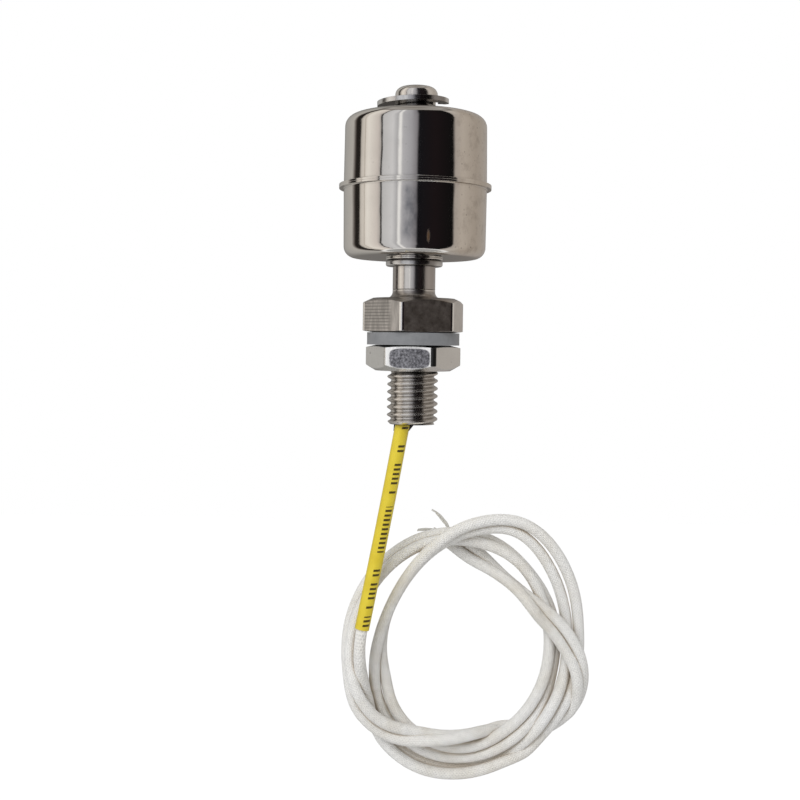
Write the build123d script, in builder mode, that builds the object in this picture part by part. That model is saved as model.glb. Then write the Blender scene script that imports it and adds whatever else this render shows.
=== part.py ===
"""Stainless float level gauge: a float with a ring magnet slides on a closed stem over a reed contact.

The stem stands along +Z with the float at its upper end and the leads hanging below. The origin is
on the stem's axis, in the sealing plane under the hexagon, where the gauge meets the tank's wall.
Millimetres.
"""

import os
from math import atan2, cos, degrees, pi, radians, tan

from build123d import *

os.makedirs("parts", exist_ok=True)

# Fitting: hexagon, neck, spigot and threaded shank turned from one bar
hex_across_flats = 18.0
hex_height = 6.7
hex_turn = 16.6
hex_corner_radius = 0.5
hex_top_break = 25.0
hex_base_break = 7.5
turned_share = 0.9
neck_height = 1.65
neck_flare = 1.3
spigot_length = 3.0
spigot_wall = 0.45
thread_diameter = 10.0
thread_length = 18.0
thread_lead_in = 0.6
mouth_bore = 7.4
mouth_depth = 12.0

# Stem: a tube closed at the top, welded onto the neck
stem_diameter = 8.4
stem_wall = 1.2
stem_tip_height = 3.15
stem_closure = 1.5
stem_edge = 1.5
joint_break = 0.12
weld_clearance = 0.02

# Clips that stop the float, each in its groove
groove_depth = 0.4
groove_play = 0.05
upper_clip_diameter = 14.2
upper_clip_thickness = 0.9
upper_clip_lean = 2.5
upper_clip_shift = 0.7
upper_clip_mouth = 6.2
upper_clip_mouth_angle = 25.0
upper_clip_pocket_depth = 1.5
upper_clip_pocket_start = 104.0
upper_clip_pocket_sweep = 48.0
upper_clip_tip_radius = 0.7
upper_groove_width = 1.35
lower_clip_diameter = 11.2
lower_clip_thickness = 1.15
lower_clip_top = 14.15
lower_clip_gap = 2.6
lower_clip_gap_angle = 118.0
lower_clip_edge = 0.35

# Float: two drawn shells joined at a lipped seam, on a core tube with rolled ends
float_diameter = 27.9
float_draft = 0.15
float_height = 27.9
float_travel = 1.5055
shell_wall = 0.3
shoulder_radius = 2.2
lip_width = 0.9
lip_thickness = 0.4
lip_root_radius = 0.2
core_bore = 9.2
core_wall = 0.4
collar_diameter = 11.2
collar_height = 0.35
collar_edge = 0.2
stop_clearance = 0.1
seat_clearance = 0.02

# Ring magnet on the core tube, held between two spacers
magnet_diameter = 16.0
magnet_height = 4.0
magnet_middle = 11.5
magnet_clearance = 0.05
spacer_wall = 0.8

# Reed contact on the stem's axis, hung from the closed end
hook_clearance = 1.5
glass_diameter = 2.4
glass_length = 14.0
glass_wall = 0.35
glass_seal = 1.6
glass_end_radius = 0.8
blade_width = 1.3
blade_thickness = 0.2
blade_overlap = 1.2
contact_gap = 0.08
pin_diameter = 0.6
pin_length = 4.0
liner_wall = 0.35
liner_clearance = 0.1
liner_overhang = 6.0

# Conductors in the stem and the ferrules that splice them
conductor_diameter = 0.8
return_wire_offset = 1.75
return_hook_height = 3.3
return_hook_radius = 0.8
splice_wall = 0.35
splice_length = 3.0
splice_clearance = 0.02
return_splice_drop = 3.5

# Gasket and jam nut
gasket_diameter = 18.2
gasket_thickness = 2.4
gasket_clearance = 0.15
face_gap = 0.05
nut_across_flats = 16.4
nut_height = 5.0
nut_turn = 54.8
nut_corner_radius = 0.8
nut_break = 30.0
nut_edge = 0.25
nut_thread_clearance = 0.05
nut_bore_chamfer = 0.5

# Leads in the shank, their sleeve and the compound that seals them
lead_diameter = 2.3
lead_gap = 0.06
lead_strip_height = 5.0
lead_bend_radius = 12.0
sleeve_wall = 0.22
sleeve_clearance = 0.05
sleeve_inside_mouth = 8.4
sleeve_end = -58.3
compound_clearance = 0.02
compound_top_gap = 0.5
compound_bulge = 1.4
compound_bulge_base = 2.05
compound_bulge_tip = 1.55
compound_bulge_shift = 0.35

# Both leads follow this route in the sleeve, seen from the front as x and z, from the shank's mouth
sleeve_route = [(-1.85, -18.0), (-4.21, -31.5), (-6.62, -44.5), (-8.37, -53.5), (-9.74, -60.8)]

# Below the sleeve each lead goes back into the coil
lead_a_tail = [(-9.8, 0.1, -65.6), (-9.2, 2.5, -70.0), (-8.0, 5.0, -73.9)]
lead_b_tail = [(-9.8, 2.8, -65.6), (-9.2, 5.3, -69.8)]

# Coil of both leads, laid flat behind the sleeve, and the two tinned ends that stand out of it
coil_middle = (12.1, 7.9, -63.2)
coil_long_diameter = 54.4
coil_short_diameter = 50.4
coil_turn = 65.0
coil_depth = 9.6
coil_eye_offset = (-0.5, -0.2)
coil_eye_width = 31.4
coil_eye_height = 33.6
coil_edge = 2.2
bare_end_diameter = 0.9
bare_end_a_route = [(8.3, 12.2, -41.6), (7.9, 12.1, -39.7), (4.7, 12.0, -36.4)]
bare_end_b_route = [(4.7, 11.8, -40.7), (3.5, 11.7, -40.4), (1.6, 11.6, -40.8)]

# Heights and radii worked out from the sizes above
neck_top = hex_height + neck_height
spigot_top = neck_top + spigot_length
stem_radius = stem_diameter / 2
stem_bore_radius = stem_radius - stem_wall
spigot_radius = stem_bore_radius - weld_clearance
lead_bore_radius = spigot_radius - spigot_wall
thread_radius = thread_diameter / 2
mouth_radius = mouth_bore / 2
mouth_top = mouth_depth - thread_length
groove_radius = stem_radius - groove_depth
clip_bore_radius = groove_radius + groove_play
float_bottom = lower_clip_top + stop_clearance + collar_height
float_top = float_bottom + float_height
collar_drop = collar_diameter / 2 * tan(radians(upper_clip_lean))
clip_underside = float_top + collar_height + float_travel + stop_clearance
upper_clip_middle = clip_underside + collar_drop + upper_clip_thickness / 2
stem_top = upper_clip_middle + stem_tip_height
seam_height = float_bottom + float_height / 2
seam_radius = float_diameter / 2 + float_draft
core_radius = core_bore / 2 + core_wall
magnet_bottom = float_bottom + magnet_middle - magnet_height / 2
magnet_top = magnet_bottom + magnet_height
magnet_bore_radius = core_radius + magnet_clearance
spacer_radius = magnet_bore_radius + spacer_wall
glass_radius = glass_diameter / 2
pin_radius = pin_diameter / 2
conductor_radius = conductor_diameter / 2
hook_top = stem_top - stem_closure - hook_clearance - conductor_radius
upper_pin_end = hook_top - return_hook_height
reed_top = upper_pin_end - pin_length
reed_bottom = reed_top - glass_length
reed_middle = (reed_bottom + reed_top) / 2
lower_pin_end = reed_bottom - pin_length
return_splice_height = lower_pin_end - return_splice_drop
liner_radius = stem_bore_radius - liner_clearance
gasket_top = -face_gap
gasket_bottom = gasket_top - gasket_thickness
nut_top = gasket_bottom - face_gap
lead_radius = lead_diameter / 2
lead_offset = (lead_diameter + lead_gap) / 2
sleeve_bore_radius = lead_radius + sleeve_clearance
sleeve_radius = sleeve_bore_radius + sleeve_wall
exit_lean = degrees(atan2(sleeve_route[0][0] - sleeve_route[1][0], sleeve_route[0][1] - sleeve_route[1][1]))
lead_bend_height = sleeve_route[0][1] - sleeve_route[0][0] / tan(radians(exit_lean))
print("float from", float_bottom, "to", float_top, "seam", seam_height, "clip at", round(upper_clip_middle, 3))


def save(part, name):
    part.label = name
    export_step(part, f"parts/{name}.step")


def outline_profile(points):
    """A closed profile in the XZ plane through the points."""
    with BuildSketch(Plane.XZ) as profile:
        with BuildLine():
            Polyline(*points, close=True)
        make_face()
    return profile.sketch


def turned(points):
    """A solid of revolution about Z from a closed profile of radii and heights."""
    with BuildPart() as piece:
        add(outline_profile(points))
        revolve(axis=Axis.Z)
    return piece.part


def ring(inner_radius, outer_radius, bottom, top):
    """A plain ring about the Z axis."""
    with BuildPart() as piece:
        with BuildSketch(Plane.XY.offset(bottom)):
            Circle(outer_radius)
            Circle(inner_radius, mode=Mode.SUBTRACT)
        extrude(amount=top - bottom)
    return piece.part


def hexagon_block(across_flats, corner_radius, turn, bottom, top, bottom_break, top_break):
    """Hexagon bar with rounded corners, its ends turned down at an angle to the end faces."""
    turned_radius = across_flats / 2 * turned_share
    corner = across_flats / 2 / cos(radians(30))
    bottom_rise = (corner - turned_radius) * tan(radians(bottom_break))
    top_rise = (corner - turned_radius) * tan(radians(top_break))
    envelope = turned([
        (0, bottom),
        (turned_radius, bottom),
        (corner, bottom + bottom_rise),
        (corner, top - top_rise),
        (turned_radius, top),
        (0, top),
    ])
    with BuildPart() as block:
        with BuildSketch(Plane.XY.offset(bottom)) as section:
            RegularPolygon(across_flats / 2, 6, major_radius=False, rotation=turn)
            fillet(section.vertices(), corner_radius)
        extrude(amount=top - bottom)
        add(envelope, mode=Mode.INTERSECT)
    return block.part


def corner_radii(points):
    """For each corner of a route, 0.45 of its shorter run over the tangent of half the turn."""
    radii = []
    for before, corner, after in zip(points, points[1:], points[2:]):
        run_in = Vector(*corner) - Vector(*before)
        run_out = Vector(*after) - Vector(*corner)
        half_turn = radians(run_in.get_angle(run_out) / 2)
        radii.append(0.45 * min(run_in.length, run_out.length) / tan(half_turn))
    return radii


def round_tube(points, radii, diameter):
    """A round section along straight runs joined by tangent arcs."""
    with BuildPart() as piece:
        with BuildLine() as path:
            if len(points) > 2:
                FilletPolyline(*points, radius=radii)
            else:
                Line(*points)
        with BuildSketch(Plane(origin=path.line @ 0, z_dir=path.line % 0)):
            Circle(diameter / 2)
        sweep()
    length = path.wires()[0].length
    ratio = piece.part.volume / (pi * diameter**2 / 4 * length)
    print([round(r, 1) for r in radii], "length", round(length, 1), "volume ratio", round(ratio, 4))
    return piece.part


# Fitting
hexagon = hexagon_block(
    hex_across_flats, hex_corner_radius, hex_turn, 0, hex_height, hex_base_break, hex_top_break
)
with BuildSketch(Plane.XZ) as neck_profile:
    with BuildLine():
        Polyline(
            (lead_bore_radius, 0),
            (stem_radius + neck_flare, 0),
            (stem_radius + neck_flare, hex_height),
        )
        RadiusArc((stem_radius + neck_flare, hex_height), (stem_radius, hex_height + neck_flare), neck_flare)
        Polyline(
            (stem_radius, hex_height + neck_flare),
            (stem_radius, neck_top),
            (spigot_radius, neck_top),
            (spigot_radius, spigot_top),
            (lead_bore_radius, spigot_top),
            (lead_bore_radius, 0),
        )
    make_face()
with BuildPart() as mounting_fitting:
    add(hexagon)
    add(neck_profile.sketch)
    revolve(axis=Axis.Z)
    with BuildSketch(Plane.XY):
        Circle(thread_radius)
    extrude(amount=-thread_length)
    chamfer(mounting_fitting.edges().filter_by(GeomType.CIRCLE).sort_by(Axis.Z)[0], thread_lead_in)
    with BuildSketch(Plane.XY.offset(spigot_top)):
        Circle(lead_bore_radius)
    extrude(amount=-(spigot_top + thread_length), mode=Mode.SUBTRACT)
    with BuildSketch(Plane.XY.offset(-thread_length)):
        Circle(mouth_radius)
    extrude(amount=mouth_depth, mode=Mode.SUBTRACT)
save(mounting_fitting.part, "mounting_fitting")

# Stem
lower_clip_middle = lower_clip_top - lower_clip_thickness / 2
lower_groove_width = lower_clip_thickness + 2 * groove_play
stem_profile = outline_profile([
    (stem_bore_radius, neck_top),
    (stem_radius, neck_top),
    (stem_radius, stem_top),
    (0, stem_top),
    (0, stem_top - stem_closure),
    (stem_bore_radius, stem_top - stem_closure),
])
with BuildPart() as stem_tube:
    add(stem_profile)
    revolve(axis=Axis.Z)
    fillet(stem_tube.edges().filter_by(GeomType.CIRCLE).sort_by(Axis.Z)[-1], stem_edge)
    foot_edges = stem_tube.edges().filter_by(GeomType.CIRCLE).filter_by_position(Axis.Z, neck_top, neck_top)
    chamfer(foot_edges.sort_by(lambda e: e.radius)[-1], joint_break)
    for middle, width in ((upper_clip_middle, upper_groove_width), (lower_clip_middle, lower_groove_width)):
        with BuildSketch(Plane.XY.offset(middle - width / 2)):
            Circle(stem_radius)
            Circle(groove_radius, mode=Mode.SUBTRACT)
        extrude(amount=width, mode=Mode.SUBTRACT)
save(stem_tube.part, "stem_tube")

# Clips
lean = radians(upper_clip_lean)
clip_plane = Plane(origin=(0, 0, upper_clip_middle), x_dir=(1, 0, tan(lean)), z_dir=(-tan(lean), 0, 1))
pocket_radius = clip_bore_radius + upper_clip_pocket_depth / 2
pocket_end = upper_clip_pocket_start + upper_clip_pocket_sweep
with BuildPart() as upper_clip:
    with BuildSketch(clip_plane.rotated((0, 0, upper_clip_mouth_angle))) as clip_outline:
        with Locations((-upper_clip_shift, 0)):
            Circle(upper_clip_diameter / 2)
        with Locations((upper_clip_diameter / 2, 0)):
            Rectangle(upper_clip_diameter, upper_clip_mouth, mode=Mode.SUBTRACT)
        tips = clip_outline.vertices()
        fillet(tips.filter_by_position(Axis.X, clip_bore_radius, upper_clip_diameter), upper_clip_tip_radius)
        Circle(clip_bore_radius, mode=Mode.SUBTRACT)
        for pocket_start in (upper_clip_pocket_start, -pocket_end):
            pocket = CenterArc((0, 0), pocket_radius, pocket_start, upper_clip_pocket_sweep)
            SlotArc(pocket, upper_clip_pocket_depth, mode=Mode.SUBTRACT)
    extrude(amount=upper_clip_thickness / 2, both=True)
save(upper_clip.part, "upper_clip")

with BuildPart() as lower_clip:
    with BuildSketch(Plane.XY.offset(lower_clip_top - lower_clip_thickness)):
        Circle(lower_clip_diameter / 2)
        Circle(clip_bore_radius, mode=Mode.SUBTRACT)
        with PolarLocations(lower_clip_diameter / 2, 1, start_angle=lower_clip_gap_angle):
            Rectangle(lower_clip_diameter, lower_clip_gap, mode=Mode.SUBTRACT)
    extrude(amount=lower_clip_thickness)
    round_edges = lower_clip.edges().filter_by(GeomType.CIRCLE)
    outer_edges = [edge for edge in round_edges if abs(edge.radius - lower_clip_diameter / 2) < 0.01]
    fillet(outer_edges, lower_clip_edge)
save(lower_clip.part, "lower_clip")


def float_shell(side):
    """One drawn half of the float; side is 1 for the upper half and -1 for the lower."""
    end = seam_height + side * float_height / 2
    lip = seam_height + side * lip_thickness
    end_inside = end - side * shell_wall
    end_radius = seam_radius - float_draft
    hole = core_radius + seat_clearance
    section = outline_profile([
        (hole, end),
        (end_radius, end),
        (seam_radius, lip),
        (seam_radius + lip_width, lip),
        (seam_radius + lip_width, seam_height),
        (seam_radius - shell_wall, seam_height),
        (end_radius - shell_wall, end_inside),
        (hole, end_inside),
    ])
    with BuildPart() as shell:
        add(section)
        revolve(axis=Axis.Z)
        circles = shell.edges().filter_by(GeomType.CIRCLE)
        shoulder = circles.sort_by(lambda e: abs(e.radius - end_radius) + abs(e.center().Z - end))[0]
        fillet(shoulder, shoulder_radius)
        circles = shell.edges().filter_by(GeomType.CIRCLE)
        inner_radius = end_radius - shell_wall
        inner = circles.sort_by(lambda e: abs(e.radius - inner_radius) + abs(e.center().Z - end_inside))[0]
        fillet(inner, shoulder_radius - shell_wall)
        circles = shell.edges().filter_by(GeomType.CIRCLE)
        root = circles.sort_by(lambda e: abs(e.radius - seam_radius) + abs(e.center().Z - lip))[0]
        fillet(root, lip_root_radius)
    return shell.part


# Float
save(float_shell(1), "float_upper_shell")
save(float_shell(-1), "float_lower_shell")

core_profile = outline_profile([
    (core_bore / 2, float_bottom - collar_height),
    (collar_diameter / 2, float_bottom - collar_height),
    (collar_diameter / 2, float_bottom),
    (core_radius, float_bottom),
    (core_radius, float_top),
    (collar_diameter / 2, float_top),
    (collar_diameter / 2, float_top + collar_height),
    (core_bore / 2, float_top + collar_height),
])
with BuildPart() as float_core_tube:
    add(core_profile)
    revolve(axis=Axis.Z)
    collar_edges = float_core_tube.edges().filter_by(GeomType.CIRCLE).sort_by(lambda e: e.radius)[-4:]
    fillet([collar_edges.sort_by(Axis.Z)[0], collar_edges.sort_by(Axis.Z)[-1]], collar_edge)
save(float_core_tube.part, "float_core_tube")

save(ring(magnet_bore_radius, magnet_diameter / 2, magnet_bottom, magnet_top), "ring_magnet")
save(ring(magnet_bore_radius, spacer_radius, float_bottom + shell_wall, magnet_bottom), "magnet_lower_spacer")
save(ring(magnet_bore_radius, spacer_radius, magnet_top, float_top - shell_wall), "magnet_upper_spacer")

# Reed contact: a glass capsule sealed round two blades that overlap at its middle
with BuildPart() as reed_glass:
    with BuildSketch(Plane.XY.offset(reed_bottom)):
        Circle(glass_radius)
    extrude(amount=glass_length)
    fillet(reed_glass.edges().filter_by(GeomType.CIRCLE), glass_end_radius)
    with BuildSketch(Plane.XY.offset(reed_bottom + glass_seal)):
        Circle(glass_radius - glass_wall)
    extrude(amount=glass_length - 2 * glass_seal, mode=Mode.SUBTRACT)
    with BuildSketch(Plane.XY.offset(reed_bottom)):
        Circle(pin_radius + seat_clearance)
    extrude(amount=glass_length, mode=Mode.SUBTRACT)
save(reed_glass.part, "reed_glass")


def reed_blade(side):
    """A contact blade: a round pin through the seal, flattened inside the capsule."""
    outer_end = reed_middle + side * (glass_length / 2 + pin_length)
    seal_end = reed_middle + side * (glass_length / 2 - glass_seal)
    tip = reed_middle - side * blade_overlap / 2
    with BuildPart() as blade:
        with BuildSketch(Plane.XY.offset(outer_end)):
            Circle(pin_radius)
        extrude(amount=seal_end - outer_end)
        with BuildSketch(Plane.XY.offset(tip)):
            with Locations((side * (contact_gap + blade_thickness) / 2, 0)):
                Rectangle(blade_thickness, blade_width)
        extrude(amount=seal_end - tip)
    return blade.part


save(reed_blade(1), "reed_upper_blade")
save(reed_blade(-1), "reed_lower_blade")

liner_bottom = spigot_top + liner_clearance
save(ring(liner_radius - liner_wall, liner_radius, liner_bottom, reed_top + liner_overhang), "stem_liner")


def splice(pin_end, side, name):
    """A crimped ferrule over a contact pin's end and the conductor that meets it."""
    half = splice_length / 2
    outer = conductor_radius + splice_clearance + splice_wall
    save(
        turned([
            (pin_radius + splice_clearance, pin_end - side * half),
            (outer, pin_end - side * half),
            (outer, pin_end + side * half),
            (conductor_radius + splice_clearance, pin_end + side * half),
            (conductor_radius + splice_clearance, pin_end),
            (pin_radius + splice_clearance, pin_end),
        ]),
        name,
    )


splice(upper_pin_end, 1, "upper_pin_splice")
splice(lower_pin_end, -1, "lower_pin_splice")

# The return wire runs from the upper pin down past the capsule to the second lead
return_points = [
    (0, return_wire_offset, return_splice_height + splice_clearance),
    (0, return_wire_offset, hook_top),
    (0, 0, hook_top),
    (0, 0, upper_pin_end + splice_clearance),
]
save(round_tube(return_points, [return_hook_radius] * 2, conductor_diameter), "reed_return_wire")
with BuildPart() as return_splice:
    with BuildSketch(Plane.XY.offset(return_splice_height - splice_length / 2)):
        with Locations((0, return_wire_offset)):
            Circle(conductor_radius + splice_clearance + splice_wall)
            Circle(conductor_radius + splice_clearance, mode=Mode.SUBTRACT)
    extrude(amount=splice_length)
save(return_splice.part, "return_wire_splice")

# Gasket and jam nut
gasket_bore_radius = thread_radius + gasket_clearance
save(ring(gasket_bore_radius, gasket_diameter / 2, gasket_bottom, gasket_top), "sealing_gasket")
nut_blank = hexagon_block(
    nut_across_flats, nut_corner_radius, nut_turn, nut_top - nut_height, nut_top, nut_break, nut_break
)
with BuildPart() as jam_nut:
    add(nut_blank)
    face_edges = jam_nut.edges().filter_by(lambda e: e.geom_type in (GeomType.HYPERBOLA, GeomType.BSPLINE))
    fillet(face_edges, nut_edge)
    with BuildSketch(Plane.XY.offset(nut_top)):
        Circle(thread_radius + nut_thread_clearance)
    extrude(amount=-nut_height, mode=Mode.SUBTRACT)
    bore_edges = jam_nut.edges().filter_by(GeomType.CIRCLE).sort_by(lambda e: e.radius)[:2]
    chamfer(bore_edges, nut_bore_chamfer)
save(jam_nut.part, "jam_nut")


def lead_route(side):
    """The shared route in the sleeve, moved to one lead's place in depth."""
    return [(x, side * lead_offset, z) for x, z in sleeve_route]


def inner_route(side):
    """A lead's route in the fitting, from the mouth up to where it is stripped."""
    mouth = lead_route(side)[0]
    return [mouth, (0, mouth[1], lead_bend_height), (0, mouth[1], lead_strip_height)]


# Leads inside the fitting, side A in front and side B behind, and their stripped conductors
save(round_tube(inner_route(-1), [lead_bend_radius], lead_diameter), "lead_a_inner")
save(round_tube(inner_route(1), [lead_bend_radius], lead_diameter), "lead_b_inner")
conductor_a_points = [
    (0, -lead_offset, lead_strip_height),
    (0, -lead_offset, neck_top),
    (0, 0, (spigot_top + lower_pin_end) / 2),
    (0, 0, lower_pin_end - splice_clearance),
]
conductor_b_points = [
    (0, lead_offset, lead_strip_height),
    (0, lead_offset, neck_top),
    (0, return_wire_offset, (spigot_top + return_splice_height) / 2),
    (0, return_wire_offset, return_splice_height - splice_clearance),
]
conductor_bend = [3 * conductor_diameter] * 2
save(round_tube(conductor_a_points, conductor_bend, conductor_diameter), "lead_a_conductor")
save(round_tube(conductor_b_points, conductor_bend, conductor_diameter), "lead_b_conductor")

# Sleeve over both leads, from inside the mouth down to the coil
route_radii = corner_radii([(x, 0, z) for x, z in sleeve_route])
rise_per_run = tan(radians(exit_lean))
sleeve_start = (sleeve_route[0][0] + rise_per_run * sleeve_inside_mouth, sleeve_route[0][1] + sleeve_inside_mouth)
last_x, last_z = sleeve_route[-1]
above_x, above_z = sleeve_route[-2]
sleeve_end_x = above_x + (last_x - above_x) * (above_z - sleeve_end) / (above_z - last_z)
sleeve_points = [sleeve_start, *sleeve_route[1:-1], (sleeve_end_x, sleeve_end)]
with BuildPart() as lead_sleeve:
    with BuildLine() as sleeve_path:
        FilletPolyline(*[(x, 0, z) for x, z in sleeve_points], radius=route_radii)
    sleeve_face = Plane(origin=sleeve_path.line @ 0, x_dir=(0, 1, 0), z_dir=sleeve_path.line % 0)
    with BuildSketch(sleeve_face):
        SlotCenterToCenter(2 * lead_offset, 2 * sleeve_radius)
        SlotCenterToCenter(2 * lead_offset, 2 * sleeve_bore_radius, mode=Mode.SUBTRACT)
    sweep()
save(lead_sleeve.part, "lead_sleeve")

# Compound that fills the shank round the leads and bulges out of its mouth beside the sleeve
channel_clearance = 2 * compound_clearance
mouth_x, mouth_z = sleeve_route[0]
channel_a = round_tube(inner_route(-1), [lead_bend_radius], lead_diameter + channel_clearance)
channel_b = round_tube(inner_route(1), [lead_bend_radius], lead_diameter + channel_clearance)
bulge_foot = (mouth_x - rise_per_run * 2 * compound_bulge, mouth_z - 2 * compound_bulge)
with BuildPart() as sleeve_channel:
    with BuildLine() as channel_path:
        Line((sleeve_start[0], 0, sleeve_start[1]), (bulge_foot[0], 0, bulge_foot[1]))
    channel_face = Plane(origin=channel_path.line @ 0, x_dir=(0, 1, 0), z_dir=channel_path.line % 0)
    with BuildSketch(channel_face):
        SlotCenterToCenter(2 * lead_offset, 2 * (sleeve_radius + compound_clearance))
    sweep()
with BuildPart() as sealing_compound:
    with BuildSketch(Plane.XY.offset(-thread_length)):
        Circle(mouth_radius - compound_clearance)
    extrude(amount=mouth_depth - compound_clearance)
    with BuildSketch(Plane.XY.offset(mouth_top - compound_clearance)):
        Circle(lead_bore_radius - compound_clearance)
    extrude(amount=lead_strip_height - compound_top_gap - mouth_top + compound_clearance)
    with BuildSketch(Plane.XY.offset(-thread_length)) as bulge_base:
        with Locations((mouth_x + compound_bulge_shift, 0)):
            Circle(compound_bulge_base)
    with BuildSketch(Plane.XY.offset(-thread_length - compound_bulge)) as bulge_tip:
        with Locations((mouth_x - rise_per_run * compound_bulge, 0)):
            Circle(compound_bulge_tip)
    loft([bulge_base.sketch.face(), bulge_tip.sketch.face()])
    add(channel_a, mode=Mode.SUBTRACT)
    add(channel_b, mode=Mode.SUBTRACT)
    add(sleeve_channel.part, mode=Mode.SUBTRACT)
save(sealing_compound.part, "sealing_compound")

# Free stretch of each lead down to the coil
lead_a_points = lead_route(-1) + lead_a_tail
lead_b_points = lead_route(1) + lead_b_tail
save(round_tube(lead_a_points, corner_radii(lead_a_points), lead_diameter), "lead_a_run")
save(round_tube(lead_b_points, corner_radii(lead_b_points), lead_diameter), "lead_b_run")

# Coil and the tinned ends
with BuildPart() as lead_coil:
    with BuildSketch(Plane(origin=coil_middle, x_dir=(1, 0, 0), z_dir=(0, -1, 0))):
        Ellipse(coil_long_diameter / 2, coil_short_diameter / 2, rotation=coil_turn)
        with Locations(coil_eye_offset):
            Ellipse(coil_eye_width / 2, coil_eye_height / 2, mode=Mode.SUBTRACT)
    extrude(amount=coil_depth / 2, both=True)
    flat_ends = lead_coil.faces().filter_by(Axis.Y)
    fillet(flat_ends.edges(), coil_edge)
save(lead_coil.part, "lead_coil")
save(round_tube(bare_end_a_route, corner_radii(bare_end_a_route), bare_end_diameter), "lead_a_bare_end")
save(round_tube(bare_end_b_route, corner_radii(bare_end_b_route), bare_end_diameter), "lead_b_bare_end")
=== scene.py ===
"""Dresses the float level gauge: finishes, wear, painted light and shade, thread, braided leads,
camera and light.
"""

from math import cos, hypot, pi, radians, sin

import bmesh
import bpy
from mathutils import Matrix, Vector


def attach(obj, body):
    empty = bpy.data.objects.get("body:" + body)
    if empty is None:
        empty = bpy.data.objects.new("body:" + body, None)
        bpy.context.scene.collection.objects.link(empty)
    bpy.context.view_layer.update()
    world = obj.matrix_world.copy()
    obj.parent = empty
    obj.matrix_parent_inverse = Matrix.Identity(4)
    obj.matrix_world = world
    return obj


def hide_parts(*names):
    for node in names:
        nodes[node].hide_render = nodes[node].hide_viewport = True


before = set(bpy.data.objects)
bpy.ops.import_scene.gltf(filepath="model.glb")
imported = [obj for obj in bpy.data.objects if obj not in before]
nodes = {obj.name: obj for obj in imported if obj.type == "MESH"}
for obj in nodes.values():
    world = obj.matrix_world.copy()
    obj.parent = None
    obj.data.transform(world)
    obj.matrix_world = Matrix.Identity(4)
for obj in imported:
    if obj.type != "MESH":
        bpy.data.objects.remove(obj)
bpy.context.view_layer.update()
scene = bpy.context.scene

# Sizes of the gauge are in millimetres, and MM turns them into metres
MM = 0.001
RIGHT, BACK, UP = (1, 0, 0), (0, 1, 0), (0, 0, 1)
CAMERA_X, CAMERA_DISTANCE, CAMERA_Z = -2.6, 231.0, -1.5

# Shader helpers


def grey(value):
    """One brightness for red, green and blue."""
    return (value, value, value)


def add_object(name, data):
    """A new object in the scene."""
    made = bpy.data.objects.new(name, data)
    scene.collection.objects.link(made)
    return made


def new_material(name):
    """A new material and its node tree."""
    material = bpy.data.materials.new(name)
    material.use_nodes = True
    return material, material.node_tree


def feed(tree, value, socket):
    """Fills an input with another node's output, a colour or a number."""
    if isinstance(value, bpy.types.NodeSocket):
        tree.links.new(value, socket)
    elif socket.type == "RGBA":
        socket.default_value = (*value, 1)
    else:
        socket.default_value = value


def node(tree, kind, **values):
    """A new node with its inputs and settings filled by name."""
    made = tree.nodes.new(kind)
    for key, value in values.items():
        if key in made.inputs:
            feed(tree, value, made.inputs[key])
        else:
            setattr(made, key, value)
    return made


def fill_shader(tree, values):
    """Fills inputs of a material's main shader by name."""
    for name, value in values.items():
        feed(tree, value, tree.nodes["Principled BSDF"].inputs[name])


def math_node(tree, operation, *values):
    """One operation on up to three values, each a number or another node's output."""
    made = node(tree, "ShaderNodeMath", operation=operation)
    for value, socket in zip(values, made.inputs):
        feed(tree, value, socket)
    return made.outputs[0]


def product(tree, first, *others):
    """All the values multiplied."""
    for other in others:
        first = math_node(tree, "MULTIPLY", first, other)
    return first


def ramp(tree, value, stops):
    """The colour for a value, between stops that each give a value and its colour."""
    made = node(tree, "ShaderNodeValToRGB", Fac=value)
    elements = made.color_ramp.elements
    while len(elements) < len(stops):
        elements.new(0.5)
    for element, (place, colour) in zip(elements, stops):
        element.position = place
        element.color = (*colour, 1)
    return made.outputs["Color"]


def mixed(tree, share, under, over):
    """The first colour where the share is 0, the second where it is 1."""
    made = node(tree, "ShaderNodeMixRGB", Fac=share, Color1=under, Color2=over)
    return made.outputs["Color"]


def multiplied(tree, first, second):
    """Two colours multiplied."""
    made = node(
        tree, "ShaderNodeMixRGB", blend_type="MULTIPLY", Fac=1.0, Color1=first, Color2=second,
    )
    return made.outputs["Color"]


def object_place(tree, stretch=None):
    """A point's place on its object in metres, multiplied along each axis where asked."""
    place = node(tree, "ShaderNodeTexCoord").outputs["Object"]
    if stretch is None:
        return place
    return node(tree, "ShaderNodeMapping", Vector=place, Scale=stretch).outputs["Vector"]


def noise(tree, place, scale, detail, roughness=0.5):
    """Noise from 0 to 1 at a place."""
    made = node(
        tree, "ShaderNodeTexNoise", Vector=place, Scale=scale, Detail=detail, Roughness=roughness,
    )
    return made.outputs["Fac"]


def noise_tone(tree, scale, stops, stretch=(1, 1, 1)):
    """A tone from noise, stretched along the object's axes."""
    clouds = noise(tree, object_place(tree, stretch), scale, detail=3.0, roughness=0.65)
    return ramp(tree, clouds, stops)


def bump(tree, height, strength, distance, normal=None):
    """The surface's normal, bent by a height that is this deep in millimetres at 1."""
    made = node(
        tree, "ShaderNodeBump", Height=height, Strength=strength, Distance=distance * MM,
    )
    if normal is not None:
        feed(tree, normal, made.inputs["Normal"])
    return made.outputs["Normal"]


def crevices(tree, reach):
    """1 on open faces and less in crevices, looked for as far as the reach in millimetres."""
    made = node(tree, "ShaderNodeAmbientOcclusion", samples=8, Distance=reach * MM)
    return made.outputs["AO"]


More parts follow.
